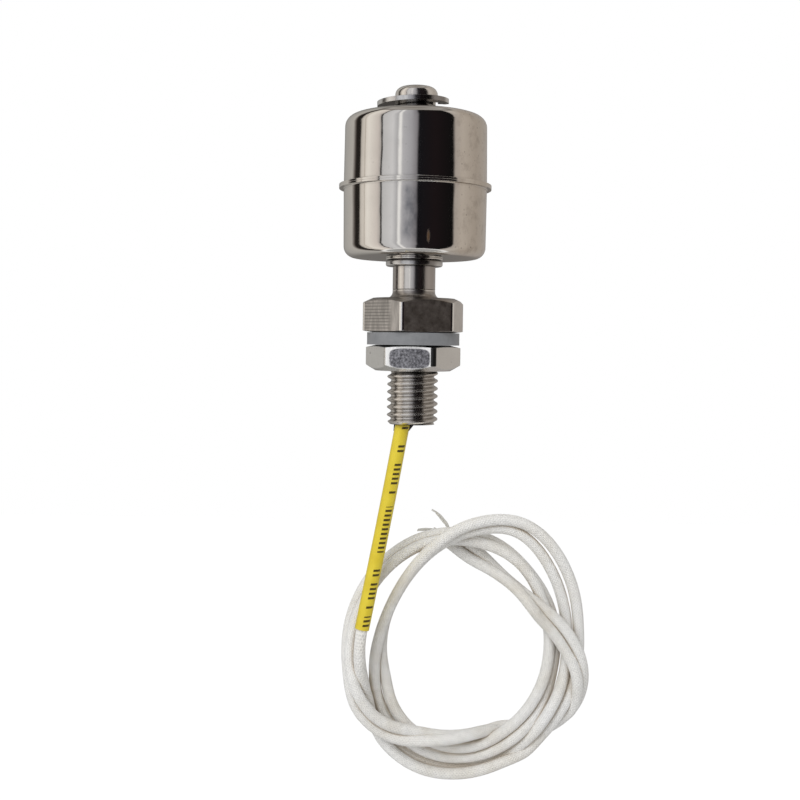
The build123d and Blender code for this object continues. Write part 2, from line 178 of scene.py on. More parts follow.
def seen_share(tree):
    """1 for rays from the camera, a reflection or glass, and 0 for light on the object."""
    rays = node(tree, "ShaderNodeLightPath").outputs
    seen = math_node(tree, "MAXIMUM", rays["Is Camera Ray"], rays["Is Glossy Ray"])
    return math_node(tree, "MAXIMUM", seen, rays["Is Transmission Ray"])


def between(tree, value, low, high):
    """0 up to the first value and 1 from the second one on, which may be the smaller."""
    made = node(tree, "ShaderNodeMapRange", Value=value)
    made.inputs["From Min"].default_value = low
    made.inputs["From Max"].default_value = high
    return made.outputs["Result"]


def facing(turn):
    """The direction this many degrees to the right of the front."""
    return (sin(radians(turn)), -cos(radians(turn)), 0)


def place_along(tree, direction):
    """How far a point of the object lies along a direction from the origin, in metres."""
    along = node(tree, "ShaderNodeVectorMath", operation="DOT_PRODUCT")
    feed(tree, object_place(tree), along.inputs[0])
    feed(tree, direction, along.inputs[1])
    return along.outputs["Value"]


def rise(tree, direction, start, end):
    """A mask that goes from 0 to 1 between two places along a direction, in millimetres."""
    return between(tree, place_along(tree, direction), start * MM, end * MM)


# How far inside a hexagon's flat its mask starts and is full
FLAT_START, FLAT_FULL = 0.12, 0.02


def flat_mask(tree, turn, depth):
    """1 on the flat of a hexagon that faces this way, this many millimetres from the axis."""
    return rise(tree, facing(turn), depth - FLAT_START, depth - FLAT_FULL)


# A spot's outline, by the power that its two distances are raised to
OVAL, ROUNDED_BOX = 2.0, 4.0


def spot(tree, power, *spans):
    """0 in the middle of a spot, 1 at its edge and more outside it.

    Each span is a direction, the middle along it and half the size, in millimetres.
    """
    parts = []
    for direction, middle, half in spans:
        scaled = math_node(tree, "DIVIDE", place_along(tree, direction), half * MM)
        away = math_node(tree, "ABSOLUTE", math_node(tree, "ADD", scaled, -middle / half))
        parts.append(math_node(tree, "POWER", away, power))
    return math_node(tree, "ADD", *parts)


def overlay(material, masks, tone, roughness=None, amount=1.0):
    """Lays a second tone over a finish where all the masks are 1."""
    tree = material.node_tree
    shader = tree.nodes["Principled BSDF"]
    share = product(tree, *masks, amount)
    layers = {"Base Color": tone}
    if roughness is not None:
        layers["Roughness"] = grey(roughness)
    for name, over in layers.items():
        socket = shader.inputs[name]
        feed(tree, mixed(tree, share, socket.links[0].from_socket, over), socket)


# Finishes

# How fast the marks on steel change along their own length
RING_STRETCH, GRAIN_STRETCH = 30, 60


def steel(
    name, colour, roughness, marks, mark_scale,
    specks=0.0, turned=True, edge=0.12, crevice_shade_level=0.3, reach=1.6,
):
    """Bright steel with fine marks, a few specks, rounded edges and painted shade in its crevices.

    The marks are rings round the axis on turned steel and run along it on ground steel.
    """
    material, tree = new_material(name)
    rings, grain = (RING_STRETCH, RING_STRETCH, mark_scale), (mark_scale, mark_scale, GRAIN_STRETCH)
    lines = object_place(tree, rings if turned else grain)
    lines = noise(tree, lines, scale=1.0, detail=3.0, roughness=0.6)
    place = object_place(tree)
    patches = noise(tree, place, scale=130.0, detail=4.0, roughness=0.55)
    tone = ramp(tree, patches, [(0.3, [c * 0.9 for c in colour]), (0.7, colour)])
    dots = noise(tree, place, scale=900.0, detail=2.0, roughness=0.7)
    dots = ramp(tree, dots, [(0.68, grey(1.0)), (0.74, grey(1.0 - specks))])
    # Painted shade: the colour is darkened in crevices and where parts sit close
    depth = ramp(tree, crevices(tree, reach), [(0.2, grey(crevice_shade_level)), (0.75, grey(1.0))])
    shine = ramp(tree, lines, [(0.25, grey(roughness * 0.8)), (0.75, grey(roughness * 1.25))])
    rounding = node(tree, "ShaderNodeBevel", samples=6, Radius=edge * MM).outputs["Normal"]
    fill_shader(tree, {
        "Metallic": 1.0,
        "Base Color": multiplied(tree, multiplied(tree, tone, dots), depth),
        "Roughness": shine,
        "Normal": bump(tree, lines, strength=marks, distance=0.04, normal=rounding),
    })
    return material


def plain(
    name, colour, roughness, variation, scale, metallic=0.0, bump_strength=0.2, specular=0.5,
):
    """A moulded, cast or drawn finish with slight mottling."""
    material, tree = new_material(name)
    mottle = noise(tree, object_place(tree), scale, detail=4.0, roughness=0.6)
    darker = [max(0.0, c - variation) for c in colour]
    fill_shader(tree, {
        "Metallic": metallic,
        "Roughness": roughness,
        "Specular IOR Level": specular,
        "Base Color": ramp(tree, mottle, [(0.3, darker), (0.7, colour)]),
        "Normal": bump(tree, mottle, bump_strength, distance=0.05),
    })
    return material


def wavy(material, scale, stretch, height):
    """Slow waves in drawn metal, which bend the lines of what it reflects."""
    tree = material.node_tree
    normal = tree.nodes["Principled BSDF"].inputs["Normal"]
    waves = noise(tree, object_place(tree, stretch), scale, detail=2.0)
    bent = bump(tree, waves, strength=1.0, distance=height, normal=normal.links[0].from_socket)
    feed(tree, bent, normal)


float_steel = steel(
    "float_steel", (0.80, 0.775, 0.74), roughness=0.065, marks=0.1, mark_scale=2500, specks=0.1,
)
stem_steel = steel(
    "stem_steel", (0.82, 0.79, 0.75), roughness=0.17, marks=0.4, mark_scale=3500,
    crevice_shade_level=0.1, reach=2.5,
)
fitting_steel = steel(
    "fitting_steel", (0.84, 0.81, 0.77), roughness=0.22, marks=0.5, mark_scale=3200,
    edge=0.15, crevice_shade_level=0.15,
)
clip_steel = steel(
    "clip_steel", (0.74, 0.735, 0.73), roughness=0.2, marks=0.2, mark_scale=3000,
    turned=False, crevice_shade_level=0.04, reach=4.0,
)
nut_steel = steel(
    "nut_steel", (0.84, 0.84, 0.83), roughness=0.22, marks=0.35, mark_scale=3000,
    specks=0.3, turned=False, edge=0.3, crevice_shade_level=0.7,
)
gasket_rubber = plain(
    "gasket_rubber", (0.235, 0.24, 0.25), roughness=0.36, variation=0.04, scale=900,
    bump_strength=0.1,
)
compound = plain(
    "compound", (0.006, 0.006, 0.006), roughness=0.55, variation=0.003, scale=300,
    bump_strength=0.4, specular=0.2,
)
tinned = plain(
    "tinned_copper", (0.86, 0.85, 0.81), roughness=0.42, variation=0.14, scale=1500,
    metallic=0.35, bump_strength=0.6,
)
ferrule = plain(
    "ferrule_brass", (0.75, 0.68, 0.52), roughness=0.3, variation=0.08, scale=1200, metallic=1.0,
)
magnet = plain(
    "magnet_ferrite", (0.10, 0.10, 0.11), roughness=0.55, variation=0.03, scale=1500,
)
spacer = plain(
    "spacer_plastic", (0.84, 0.84, 0.81), roughness=0.5, variation=0.03, scale=500,
)
liner = plain(
    "liner_plastic", (0.88, 0.88, 0.85), roughness=0.35, variation=0.03, scale=500,
)
blade_metal = plain(
    "blade_metal", (0.72, 0.71, 0.67), roughness=0.25, variation=0.06, scale=1500, metallic=1.0,
)

# Wear, painted shade, painted highlights and painted reflections, each place given as where its
# mask starts and where it is full

FLOAT_RIGHT, FLOAT_FRONT = (6.0, 8.5), (-10.0, -12.0)
STREAK_X, STREAK_HALF_WIDTH = 2.4, 0.3
STREAK_Z, STREAK_HALF_HEIGHT = 17.88, 1.2
STREAK_EDGE = (1.9, 0.1)
REFLECTION_PATCH_LEFT, REFLECTION_PATCH_RIGHT = (-3.0, -1.8), (1.2, 0.0)
REFLECTION_PATCH_TOP, REFLECTION_PATCH_FOOT = (27.8, 26.2), (16.5, 18.5)
SPECK_SCALE, SPECK_EDGE = 850.0, (0.19, 0.08)


def float_wear_and_painted_reflection():
    """A brown tint and specks on the right, a small rusty streak, and a painted dark reflection on
    the front of the lower shell.
    """
    tree = float_steel.node_tree
    right = rise(tree, RIGHT, *FLOAT_RIGHT)
    front = rise(tree, BACK, *FLOAT_FRONT)
    overlay(float_steel, [right], (0.60, 0.51, 0.41), amount=0.45)
    cells = node(tree, "ShaderNodeTexVoronoi", Vector=object_place(tree), Scale=SPECK_SCALE)
    specks = between(tree, cells.outputs["Distance"], *SPECK_EDGE)
    groups = noise_tone(tree, 200.0, [(0.40, grey(0.0)), (0.62, grey(0.7))])
    overlay(float_steel, [right, specks, groups], (0.16, 0.14, 0.12))
    clouds = noise_tone(tree, 420.0, [(0.5, grey(0.0)), (0.75, grey(0.45))])
    overlay(float_steel, [right, clouds], (0.34, 0.30, 0.26))
    spans = (RIGHT, STREAK_X, STREAK_HALF_WIDTH), (UP, STREAK_Z, STREAK_HALF_HEIGHT)
    streak = between(tree, spot(tree, OVAL, *spans), *STREAK_EDGE)
    overlay(float_steel, [streak, front], (0.42, 0.19, 0.02), roughness=0.8, amount=0.75)
    # Painted reflection: a dark patch on the front of the lower shell, standing in for what that
    # shell reflects
    strip = product(tree, rise(tree, RIGHT, *REFLECTION_PATCH_LEFT), rise(tree, RIGHT, *REFLECTION_PATCH_RIGHT))
    lower = product(tree, rise(tree, UP, *REFLECTION_PATCH_TOP), rise(tree, UP, *REFLECTION_PATCH_FOOT))
    reflection_patch = noise_tone(tree, 330.0, [(0.35, grey(0.2)), (0.65, grey(0.85))], (1, 1, 0.6))
    overlay(float_steel, [strip, front, lower, reflection_patch], (0.20, 0.21, 0.23))
    wavy(float_steel, 260.0, (1, 1, 0.55), 0.03)


STEM_RIGHT, STEM_LEFT, STEM_BELOW_FLOAT = (1.4, 2.4), (-2.8, -3.6), (20.0, 18.0)


def stem_painted_shade():
    """Painted shade: the stem is darker on both sides below the float, and rougher on the right."""
    tree = stem_steel.node_tree
    below = rise(tree, UP, *STEM_BELOW_FLOAT)
    right = rise(tree, RIGHT, *STEM_RIGHT)
    overlay(stem_steel, [right, below], (0.48, 0.45, 0.43), roughness=0.3)
    left = rise(tree, RIGHT, *STEM_LEFT)
    overlay(stem_steel, [left, below], (0.42, 0.39, 0.37))


HEX_TURN, HEX_DEPTH, HEX_CORNER = 16.6, 9.0, (10.10, 10.18)
HEX_FOOT, HEX_TOP = (0.0, 0.1), (7.2, 6.6)
SHOULDER_FOOT, SHOULDER_TOP = (6.0, 6.6), (8.3, 7.9)
CUTTER_PITCH, CUTTER_SIDE, CUTTER_EDGE = 0.6, (-4.2, -5.0), (0.1, 0.8)
THREAD_TOP, THREAD_RIGHT, THREAD_LEFT = (0.0, -0.1), (1.8, 2.6), (-3.0, -4.2)


def fitting_wear_and_painted_shade():
    """The hexagon is duller than the thread.

    Its left flat carries painted shade and cutter marks, its front flat a dark skin, and its
    corners are rubbed.
    The shoulder above it is darker and mottled, and both sides of the thread carry painted shade.
    """
    tree = fitting_steel.node_tree
    bar = product(tree, rise(tree, UP, *HEX_FOOT), rise(tree, UP, *HEX_TOP))
    dull = noise_tone(tree, 500.0, [(0.3, (0.62, 0.60, 0.57)), (0.7, (0.76, 0.73, 0.69))])
    overlay(fitting_steel, [bar], dull, roughness=0.34)
    # Painted shade: the left flat is darkened
    shade = noise_tone(
        tree, 1.0, [(0.3, (0.30, 0.29, 0.28)), (0.7, (0.62, 0.60, 0.58))], (900, 900, 200),
    )
    left_flat = product(tree, flat_mask(tree, HEX_TURN - 60, HEX_DEPTH), bar)
    overlay(fitting_steel, [left_flat], shade)
    waves = product(tree, place_along(tree, UP), 2 * pi / (CUTTER_PITCH * MM))
    cuts = between(tree, math_node(tree, "SINE", waves), *CUTTER_EDGE)
    marked = rise(tree, RIGHT, *CUTTER_SIDE)
    overlay(fitting_steel, [left_flat, marked, cuts], (0.17, 0.165, 0.16), amount=0.6)
    skin = noise_tone(tree, 700.0, [(0.3, (0.34, 0.29, 0.25)), (0.7, (0.76, 0.70, 0.64))])
    front_flat = flat_mask(tree, HEX_TURN, HEX_DEPTH)
    overlay(fitting_steel, [front_flat, bar], skin, roughness=0.42)
    for turn in (HEX_TURN - 90, HEX_TURN - 30, HEX_TURN + 30):
        corner = rise(tree, facing(turn), *HEX_CORNER)
        overlay(fitting_steel, [corner, bar], (0.95, 0.94, 0.92), roughness=0.12)
    # The shoulder above the hexagon is darker and mottled
    shoulder = product(tree, rise(tree, UP, *SHOULDER_FOOT), rise(tree, UP, *SHOULDER_TOP))
    darker_shoulder_tone = noise_tone(tree, 600.0, [(0.3, (0.28, 0.26, 0.24)), (0.7, (0.52, 0.49, 0.46))])
    overlay(fitting_steel, [shoulder], darker_shoulder_tone, roughness=0.3)
    # Painted shade: both sides of the thread are darkened
    thread = rise(tree, UP, *THREAD_TOP)
    right = rise(tree, RIGHT, *THREAD_RIGHT)
    overlay(fitting_steel, [right, thread], (0.44, 0.42, 0.40), amount=0.6)
    left = rise(tree, RIGHT, *THREAD_LEFT)
    overlay(fitting_steel, [left, thread], (0.48, 0.45, 0.42), amount=0.45)


CLIP_RIGHT, CLIP_FRONT = (-0.5, 0.8), (-3.2, -4.2)


def clip_rim_painted_shade():
    """Painted shade: the clips' front rims are darker on the right."""
    tree = clip_steel.node_tree
    right, front = rise(tree, RIGHT, *CLIP_RIGHT), rise(tree, BACK, *CLIP_FRONT)
    overlay(clip_steel, [right, front], (0.16, 0.14, 0.13), amount=0.7)


NUT_TOP, NUT_MIDDLE, NUT_FLAT_RADIUS, NUT_TOP_BREAK = -2.5, -5.0, 7.38, 0.4
NUT_TURN, NUT_DEPTH, NUT_CORNER = -5.2, 8.2, (9.09, 9.15)
SKIN_HALF_WIDTH, SKIN_HALF_HEIGHT = 4.3, 2.1
RIM_START, RIM_FULL, RIM_METALLIC = 0.55, 0.75, 0.4


def nut_skin_and_painted_light():
    """The nut's front flat keeps the dark speckled skin of the bar inside a rubbed rim painted
    bright as a highlight, and its right corner carries a painted dark reflection.
    """
    tree = nut_steel.node_tree
    flat = flat_mask(tree, NUT_TURN, NUT_DEPTH)
    across = facing(NUT_TURN + 90)
    spans = (across, 0.0, SKIN_HALF_WIDTH), (UP, NUT_MIDDLE, SKIN_HALF_HEIGHT)
    edge = spot(tree, ROUNDED_BOX, *spans)
    rim = product(tree, flat, between(tree, edge, RIM_START, RIM_FULL))
    overlay(nut_steel, [rim], (1.0, 1.0, 1.0), roughness=0.6)
    # The rim is less metallic, so that it looks matt and bright whatever it faces: a painted
    # highlight
    metallic = math_node(tree, "MULTIPLY_ADD", rim, RIM_METALLIC - 1.0, 1.0)
    fill_shader(tree, {"Metallic": metallic})
    skin = noise_tone(
        tree, 2200.0,
        [(0.35, (0.16, 0.16, 0.17)), (0.5, (0.38, 0.38, 0.40)), (0.68, (0.75, 0.75, 0.78))],
    )
    inside = between(tree, edge, RIM_FULL, RIM_START)
    overlay(nut_steel, [flat, inside], skin, roughness=0.4)
    # Painted reflection: a dark line along the corner right of the front flat
    corner = rise(tree, facing(NUT_TURN + 30), *NUT_CORNER)
    overlay(nut_steel, [corner], (0.03, 0.03, 0.03), roughness=0.3)


# Glass, sleeve and braid


def glass_material():
    """Clear glass with a slight green tint."""
    material, tree = new_material("capsule_glass")
    tint = noise(tree, object_place(tree), scale=600.0, detail=2.0)
    fill_shader(tree, {
        "Base Color": ramp(tree, tint, [(0.2, (0.80, 0.93, 0.84)), (0.8, (0.86, 0.97, 0.90))]),
        "Transmission Weight": 1.0,
        "IOR": 1.5,
        "Roughness": 0.03,
    })
    return material


# The marks start at a line that leans as the sleeve does: at MARK_START for z = 0, and
# MARK_LEAN further left for each millimetre down
MARK_START, MARK_LEAN = 1.47, 0.185
MARK_PITCH, MARK_WIDTH, MARK_DARKNESS = 0.9, 1.26, 0.93
# The share of each pitch that is dark, of single marks left out, and the level of group noise
# under which a stretch has no marks
MARK_SHARE, MARKS_LEFT_OUT, GROUP_SCALE, GROUP_LEVEL = 0.5, 0.15, 260.0, 0.42


def sleeve_material():
    """Yellow shrunk tube with a row of plain dark marks down one side."""
    material, tree = new_material("sleeve_yellow")
    place = object_place(tree)
    split = node(tree, "ShaderNodeSeparateXYZ", Vector=place).outputs
    mottle = noise(tree, place, scale=260.0, detail=4.0, roughness=0.6)
    tone = ramp(tree, mottle, [(0.3, (0.67, 0.51, 0.022)), (0.7, (0.75, 0.60, 0.04))])
    line = math_node(tree, "MULTIPLY_ADD", split["Z"], -MARK_LEAN, -MARK_START * MM)
    across = math_node(tree, "ADD", split["X"], line)
    steps = math_node(tree, "DIVIDE", split["Z"], MARK_PITCH * MM)
    chance = node(
        tree, "ShaderNodeTexWhiteNoise", noise_dimensions="1D",
        W=math_node(tree, "FLOOR", steps),
    )
    group = node(
        tree, "ShaderNodeTexNoise", noise_dimensions="1D",
        W=product(tree, split["Z"], GROUP_SCALE), Scale=1.0, Detail=0.0,
    )
    marks = product(
        tree,
        math_node(tree, "GREATER_THAN", across, 0.0),
        math_node(tree, "LESS_THAN", across, MARK_WIDTH * MM),
        math_node(tree, "LESS_THAN", split["Y"], 0.0),
        math_node(tree, "LESS_THAN", math_node(tree, "FRACT", steps), MARK_SHARE),
        math_node(tree, "GREATER_THAN", chance.outputs["Value"], MARKS_LEFT_OUT),
        math_node(tree, "GREATER_THAN", group.outputs["Fac"], GROUP_LEVEL),
        MARK_DARKNESS,
    )
    fill_shader(tree, {
        "Base Color": mixed(tree, marks, tone, (0.03, 0.018, 0.006)),
        "Roughness": 0.38,
        "Normal": bump(tree, mottle, strength=0.35, distance=0.1),
    })
    return material


# How far along the lead a strand winds once round it, the strands each way, and fibre's height
BRAID_LAY, BRAID_STRANDS, FIBRE_HEIGHT = 6.2, 10, 1.4


def braid_material(name, length):
    """White glass-fibre braid: two crossing sets of strands that wind round the lead."""
    material, tree = new_material(name)
    place = object_place(tree)
    lead_place = node(tree, "ShaderNodeTexCoord").outputs["UV"]
    split = node(tree, "ShaderNodeSeparateXYZ", Vector=lead_place).outputs
    along = product(tree, split["X"], length / BRAID_LAY * 2 * pi, BRAID_STRANDS)
    around = product(tree, split["Y"], 2 * pi)
    first, second = (
        math_node(tree, "SINE", math_node(tree, "ADD", along, product(tree, around, wind)))
        for wind in (BRAID_STRANDS, -BRAID_STRANDS)
    )
    weave = product(tree, first, second)
    high = math_node(tree, "MAXIMUM", first, second)
    fibre = noise(tree, place, scale=1400.0, detail=3.0, roughness=0.6)
    height = math_node(tree, "ADD", weave, high)
    height = math_node(tree, "ADD", height, product(tree, fibre, FIBRE_HEIGHT))
    stain = noise(tree, place, scale=95.0, detail=3.0, roughness=0.6)
    tone = ramp(
        tree, stain,
        [(0.28, (0.78, 0.74, 0.665)), (0.5, (0.89, 0.875, 0.84)), (0.72, (0.93, 0.925, 0.91))],
    )
    # the sine's height from 0 to 1, low between the strands
    level = math_node(tree, "MULTIPLY_ADD", high, 0.5, 0.5)
    # Painted shade: darker where the weave is low between the strands, and darker and browner in
    # crevices between the leads
    braid_crevice_shade = crevices(tree, reach=2.5)
    for layer in (
        ramp(tree, level, [(0.0, grey(0.68)), (0.5, grey(1.0))]),
        ramp(tree, fibre, [(0.35, grey(0.90)), (0.6, grey(1.0))]),
        ramp(tree, braid_crevice_shade, [(0.2, (0.76, 0.68, 0.58)), (0.65, grey(1.0))]),
    ):
        tone = multiplied(tree, tone, layer)
    fill_shader(tree, {
        "Base Color": tone,
        "Roughness": 0.75,
        "Sheen Weight": 0.15,
        "Normal": bump(tree, height, strength=0.8, distance=0.08),
    })
    return material


float_wear_and_painted_reflection()
stem_painted_shade()
fitting_wear_and_painted_shade()
clip_rim_painted_shade()
nut_skin_and_painted_light()
for material, names in (
    (float_steel, ("float_upper_shell", "float_lower_shell", "float_core_tube")),
    (stem_steel, ("stem_tube",)),
    (fitting_steel, ("mounting_fitting",)),
    (clip_steel, ("upper_clip", "lower_clip")),
    (nut_steel, ("jam_nut",)),
    (gasket_rubber, ("sealing_gasket",)),
    (compound, ("sealing_compound",)),
    (magnet, ("ring_magnet",)),
    (spacer, ("magnet_lower_spacer", "magnet_upper_spacer", "lead_a_inner", "lead_b_inner")),
    (liner, ("stem_liner",)),
    (glass_material(), ("reed_glass",)),
    (blade_metal, ("reed_upper_blade", "reed_lower_blade")),
    (ferrule, ("upper_pin_splice", "lower_pin_splice", "return_wire_splice")),
    (tinned, (
        "reed_return_wire", "lead_a_conductor", "lead_b_conductor",
        "lead_a_bare_end", "lead_b_bare_end",
    )),
    (sleeve_material(), ("lead_sleeve",)),
):
    for name in names:
        nodes[name].data.materials.clear()
        nodes[name].data.materials.append(material)

# Threaded shank

THREAD_PITCH, THREAD_MAJOR, THREAD_MINOR, THREAD_PHASE = 1.5, 5.0, 4.22, -0.25
SHANK_LENGTH, SHANK_LEAD_IN, MOUTH_RADIUS = 18.0, 0.6, 3.7
SHANK_STEPS, SHANK_SHARP_ANGLE = 120, 28
# One pitch of the thread: place in the pitch, and share of the way from root to crest
THREAD_PROFILE = [
    (0.0, 0), (0.1, 0.02), (0.2, 0.12), (0.4, 0.8), (0.48, 0.96), (0.56, 1), (0.64, 0.96),
    (0.72, 0.8), (0.92, 0.12),
]
# Slack in millimetres for picking points by their distance from the axis
PICK_SLACK = 0.01
# How near each other, in metres, two points count as one and two heights as the same
ONE_POINT, ONE_HEIGHT = 1e-7, 1e-6


def copied_mesh(name):
    """A copy of a CAD node's mesh, without its fixed normals."""
    mesh = nodes[name].data.copy()
    if "custom_normal" in mesh.attributes:
        mesh.attributes.remove(mesh.attributes["custom_normal"])
    return mesh


def add_piece(name, mesh, sharp_angle, material):
    """A piece from a changed mesh, smooth but for edges sharper than the angle in degrees."""
    for polygon in mesh.polygons:
        polygon.use_smooth = True
    mesh.set_sharp_from_angle(angle=radians(sharp_angle))
    mesh.materials.clear()
    mesh.materials.append(material)
    return add_object(name, mesh)


def on_shank(face):
    """Whether a face of the fitting belongs to the plain shank, outside its mouth."""
    corners = [vertex.co for vertex in face.verts]
    radii = [hypot(corner.x, corner.y) for corner in corners]
    return (
        all(corner.z < ONE_HEIGHT for corner in corners)
        and min(radii) > (MOUTH_RADIUS - PICK_SLACK) * MM
        and not all(abs(corner.z) < ONE_HEIGHT for corner in corners)
        and not max(radii) < (MOUTH_RADIUS + PICK_SLACK) * MM
    )


def thread_row(bm, turn, phase, share_of_depth):
    """Points of one line of the profile, once round the shank and a pitch further down."""
    row = []
    for step in range(SHANK_STEPS):
        share = step / SHANK_STEPS
        down = (turn + THREAD_PHASE + phase + share) * THREAD_PITCH
        z = -min(max(down, 0.0), SHANK_LENGTH)
        radius = THREAD_MINOR + (THREAD_MAJOR - THREAD_MINOR) * share_of_depth
        radius = min(radius, THREAD_MAJOR - SHANK_LEAD_IN + max(0.0, SHANK_LENGTH + z))
        angle = -2 * pi * share
        row.append(bm.verts.new((radius * MM * cos(angle), radius * MM * sin(angle), z * MM)))
    return row


def end_ring(bm, radius):
    """A ring of points at the shank's end."""
    angles = [2 * pi * step / SHANK_STEPS for step in range(SHANK_STEPS)]
    return [
        bm.verts.new((radius * MM * cos(angle), radius * MM * sin(angle), -SHANK_LENGTH * MM))
        for angle in angles
    ]


def build_shank():
    """The fitting with its plain shank surface taken off and a helical thread in its place."""
    mesh = copied_mesh("mounting_fitting")
    bm = bmesh.new()
    bm.from_mesh(mesh)
    bmesh.ops.remove_doubles(bm, verts=bm.verts, dist=ONE_POINT)
    bmesh.ops.delete(bm, geom=[face for face in bm.faces if on_shank(face)], context="FACES")
    turns = range(-1, int(SHANK_LENGTH / THREAD_PITCH) + 2)
    rows = [thread_row(bm, turn, *place) for turn in turns for place in THREAD_PROFILE]
    for index in range(len(rows) - 1):
        for step in range(SHANK_STEPS):
            ahead, after = index, step + 1
            if after == SHANK_STEPS:
                # a row's last point meets the first one of the row a pitch further down
                ahead, after = index + len(THREAD_PROFILE), 0
            if ahead + 1 < len(rows):
                bm.faces.new((
                    rows[index][step], rows[ahead][after],
                    rows[ahead + 1][after], rows[index + 1][step],
                ))
    # The flat end round the mouth
    inner = end_ring(bm, MOUTH_RADIUS)
    outer = end_ring(bm, THREAD_MAJOR - SHANK_LEAD_IN)
    for step in range(SHANK_STEPS):
        after = (step + 1) % SHANK_STEPS
        bm.faces.new((inner[step], inner[after], outer[after], outer[step]))
    bmesh.ops.dissolve_degenerate(bm, dist=ONE_POINT, edges=bm.edges)
    bm.normal_update()
    bm.to_mesh(mesh)
    bm.free()
    fitting = add_piece("threaded_fitting", mesh, SHANK_SHARP_ANGLE, fitting_steel)
    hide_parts("mounting_fitting")
    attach(fitting, "stem")


build_shank()

# Jam nut

NUT_SHARP_ANGLE = 14


def build_nut():
    """The nut with a flatter break on its upper side, where it meets the gasket."""
    mesh = copied_mesh("jam_nut")
    for vertex in mesh.vertices:
        x, y, z = vertex.co
        if z > NUT_MIDDLE * MM and hypot(x, y) > (NUT_FLAT_RADIUS - PICK_SLACK) * MM:
            vertex.co.z = NUT_TOP * MM - (NUT_TOP * MM - z) * NUT_TOP_BREAK
    nut = add_piece("dressed_nut", mesh, NUT_SHARP_ANGLE, nut_steel)
    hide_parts("jam_nut")
    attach(nut, "nut")


build_nut()

# Leads

LEAD_DIAMETER, STRAND_DIAMETER = 2.3, 0.36
# Each route repeats the points that its tube follows, from the shank's mouth down to the coil
LEAD_A_ROUTE = [
    (-1.85, -1.18, -18.0), (-4.21, -1.18, -31.5), (-6.62, -1.18, -44.5), (-8.37, -1.18, -53.5),
    (-9.74, -1.18, -60.8), (-9.8, 0.1, -65.6), (-9.2, 2.5, -70.0), (-8.0, 5.0, -73.9),
]
LEAD_B_ROUTE = [
    (-1.85, 1.18, -18.0), (-4.21, 1.18, -31.5), (-6.62, 1.18, -44.5), (-8.37, 1.18, -53.5),
    (-9.74, 1.18, -60.8), (-9.8, 2.8, -65.6), (-9.2, 5.3, -69.8),
]

# The coil as the photograph shows it. Each place on it has its angle round the coil's middle
# in degrees, its distance from the middle and its depth.
COIL_MIDDLE_X, COIL_MIDDLE_Z, COIL_PLANE = 11.48, -63.9, 6.9
COIL_TILT, COIL_STEP = 0.8, 6
COIL_A = [
    (216, 23.6, 6), (230, 25.3, 6.6), (250, 26.1, 6.6), (270, 25.4, 6.5), (290, 24.3, 6.1),
    (300, 24.4, 6.9), (310, 23.5, 7.2), (330, 23.2, 6.5), (350, 23, 6.6), (370, 23.4, 6.6),
    (390, 25.2, 6), (410, 27.3, 5.2), (420, 28, 4.8), (430, 27.7, 4.4), (450, 24.7, 3.4),
    (470, 21.1, 3.4), (490, 18.6, 4.6), (510, 17.4, 5.6), (530, 17.5, 5.9), (550, 18.7, 6.4),
    (570, 20.4, 7.2), (590, 21.8, 7.4), (610, 22.5, 7.4), (630, 22.2, 7.3), (660, 20.7, 5.3),
    (690, 18.9, 7.1), (710, 18.2, 7.9), (740, 18.9, 8.2), (770, 20.2, 9.1), (800, 22.8, 9.7),
    (830, 24.1, 9.4), (860, 24.1, 7.5), (890, 24, 6.5), (910, 24.2, 3.8), (930, 25.2, 3),
    (950, 23.5, 3.2), (970, 20, 2.2), (990, 17.9, 3.4), (1000, 17.4, 4.8), (1008, 17.4, 7.2),
    (1024, 21, 9.2), (1040, 23.8, 11.1), (1056, 25.2, 8.2), (1072, 24.1, 4.3),
    (1090, 20.8, 3.4), (1110, 17.4, 4.2), (1130, 16.2, 7.5), (1150, 17.5, 11),
    (1178, 23.4, 12.2),
]
COIL_B = [
    (208, 22.3, 7.2), (224, 23.5, 8.7), (240, 24.4, 8.9), (260, 24.4, 8.9), (280, 24.1, 8.4),
    (300, 22.6, 6.6), (310, 22.1, 5.3), (320, 21.5, 4.8), (340, 20.9, 5.6), (360, 20.7, 6.6),
    (380, 21.6, 6.6), (400, 23.4, 6.1), (420, 25.6, 5.7), (430, 25.8, 5.7), (450, 23.4, 5.4),
    (480, 19.5, 6.1), (500, 17.8, 7.5), (520, 17.2, 8.1), (540, 17, 8.2), (560, 17.2, 7.4),
    (580, 18.8, 6.4), (600, 19.9, 6.2), (630, 20.2, 6.1), (660, 18.4, 5.2), (690, 17.3, 5.4),
    (720, 17.1, 6), (750, 18.3, 6.3), (780, 20.7, 7.1), (810, 21.9, 7.9), (830, 22.7, 7.6),
    (860, 22.7, 5.6), (875, 22.7, 5.1), (900, 23.4, 3), (920, 23.8, 0.9), (940, 22.8, 1.8),
    (960, 19.6, 3.4), (980, 18.1, 4.6), (1000, 17.2, 7.1), (1008, 17.3, 9.3), (1016, 17.4, 9.9),
    (1032, 21, 8.6), (1048, 24.9, 8.1), (1064, 23.8, 3.7), (1080, 20.1, 3.4), (1100, 16.6, 3),
    (1110, 15.9, 2.4), (1120, 15.8, 3.4), (1130, 15.9, 5.2), (1150, 16.6, 8.9),
    (1170, 18.8, 11.2), (1186, 24.6, 11.8),
]
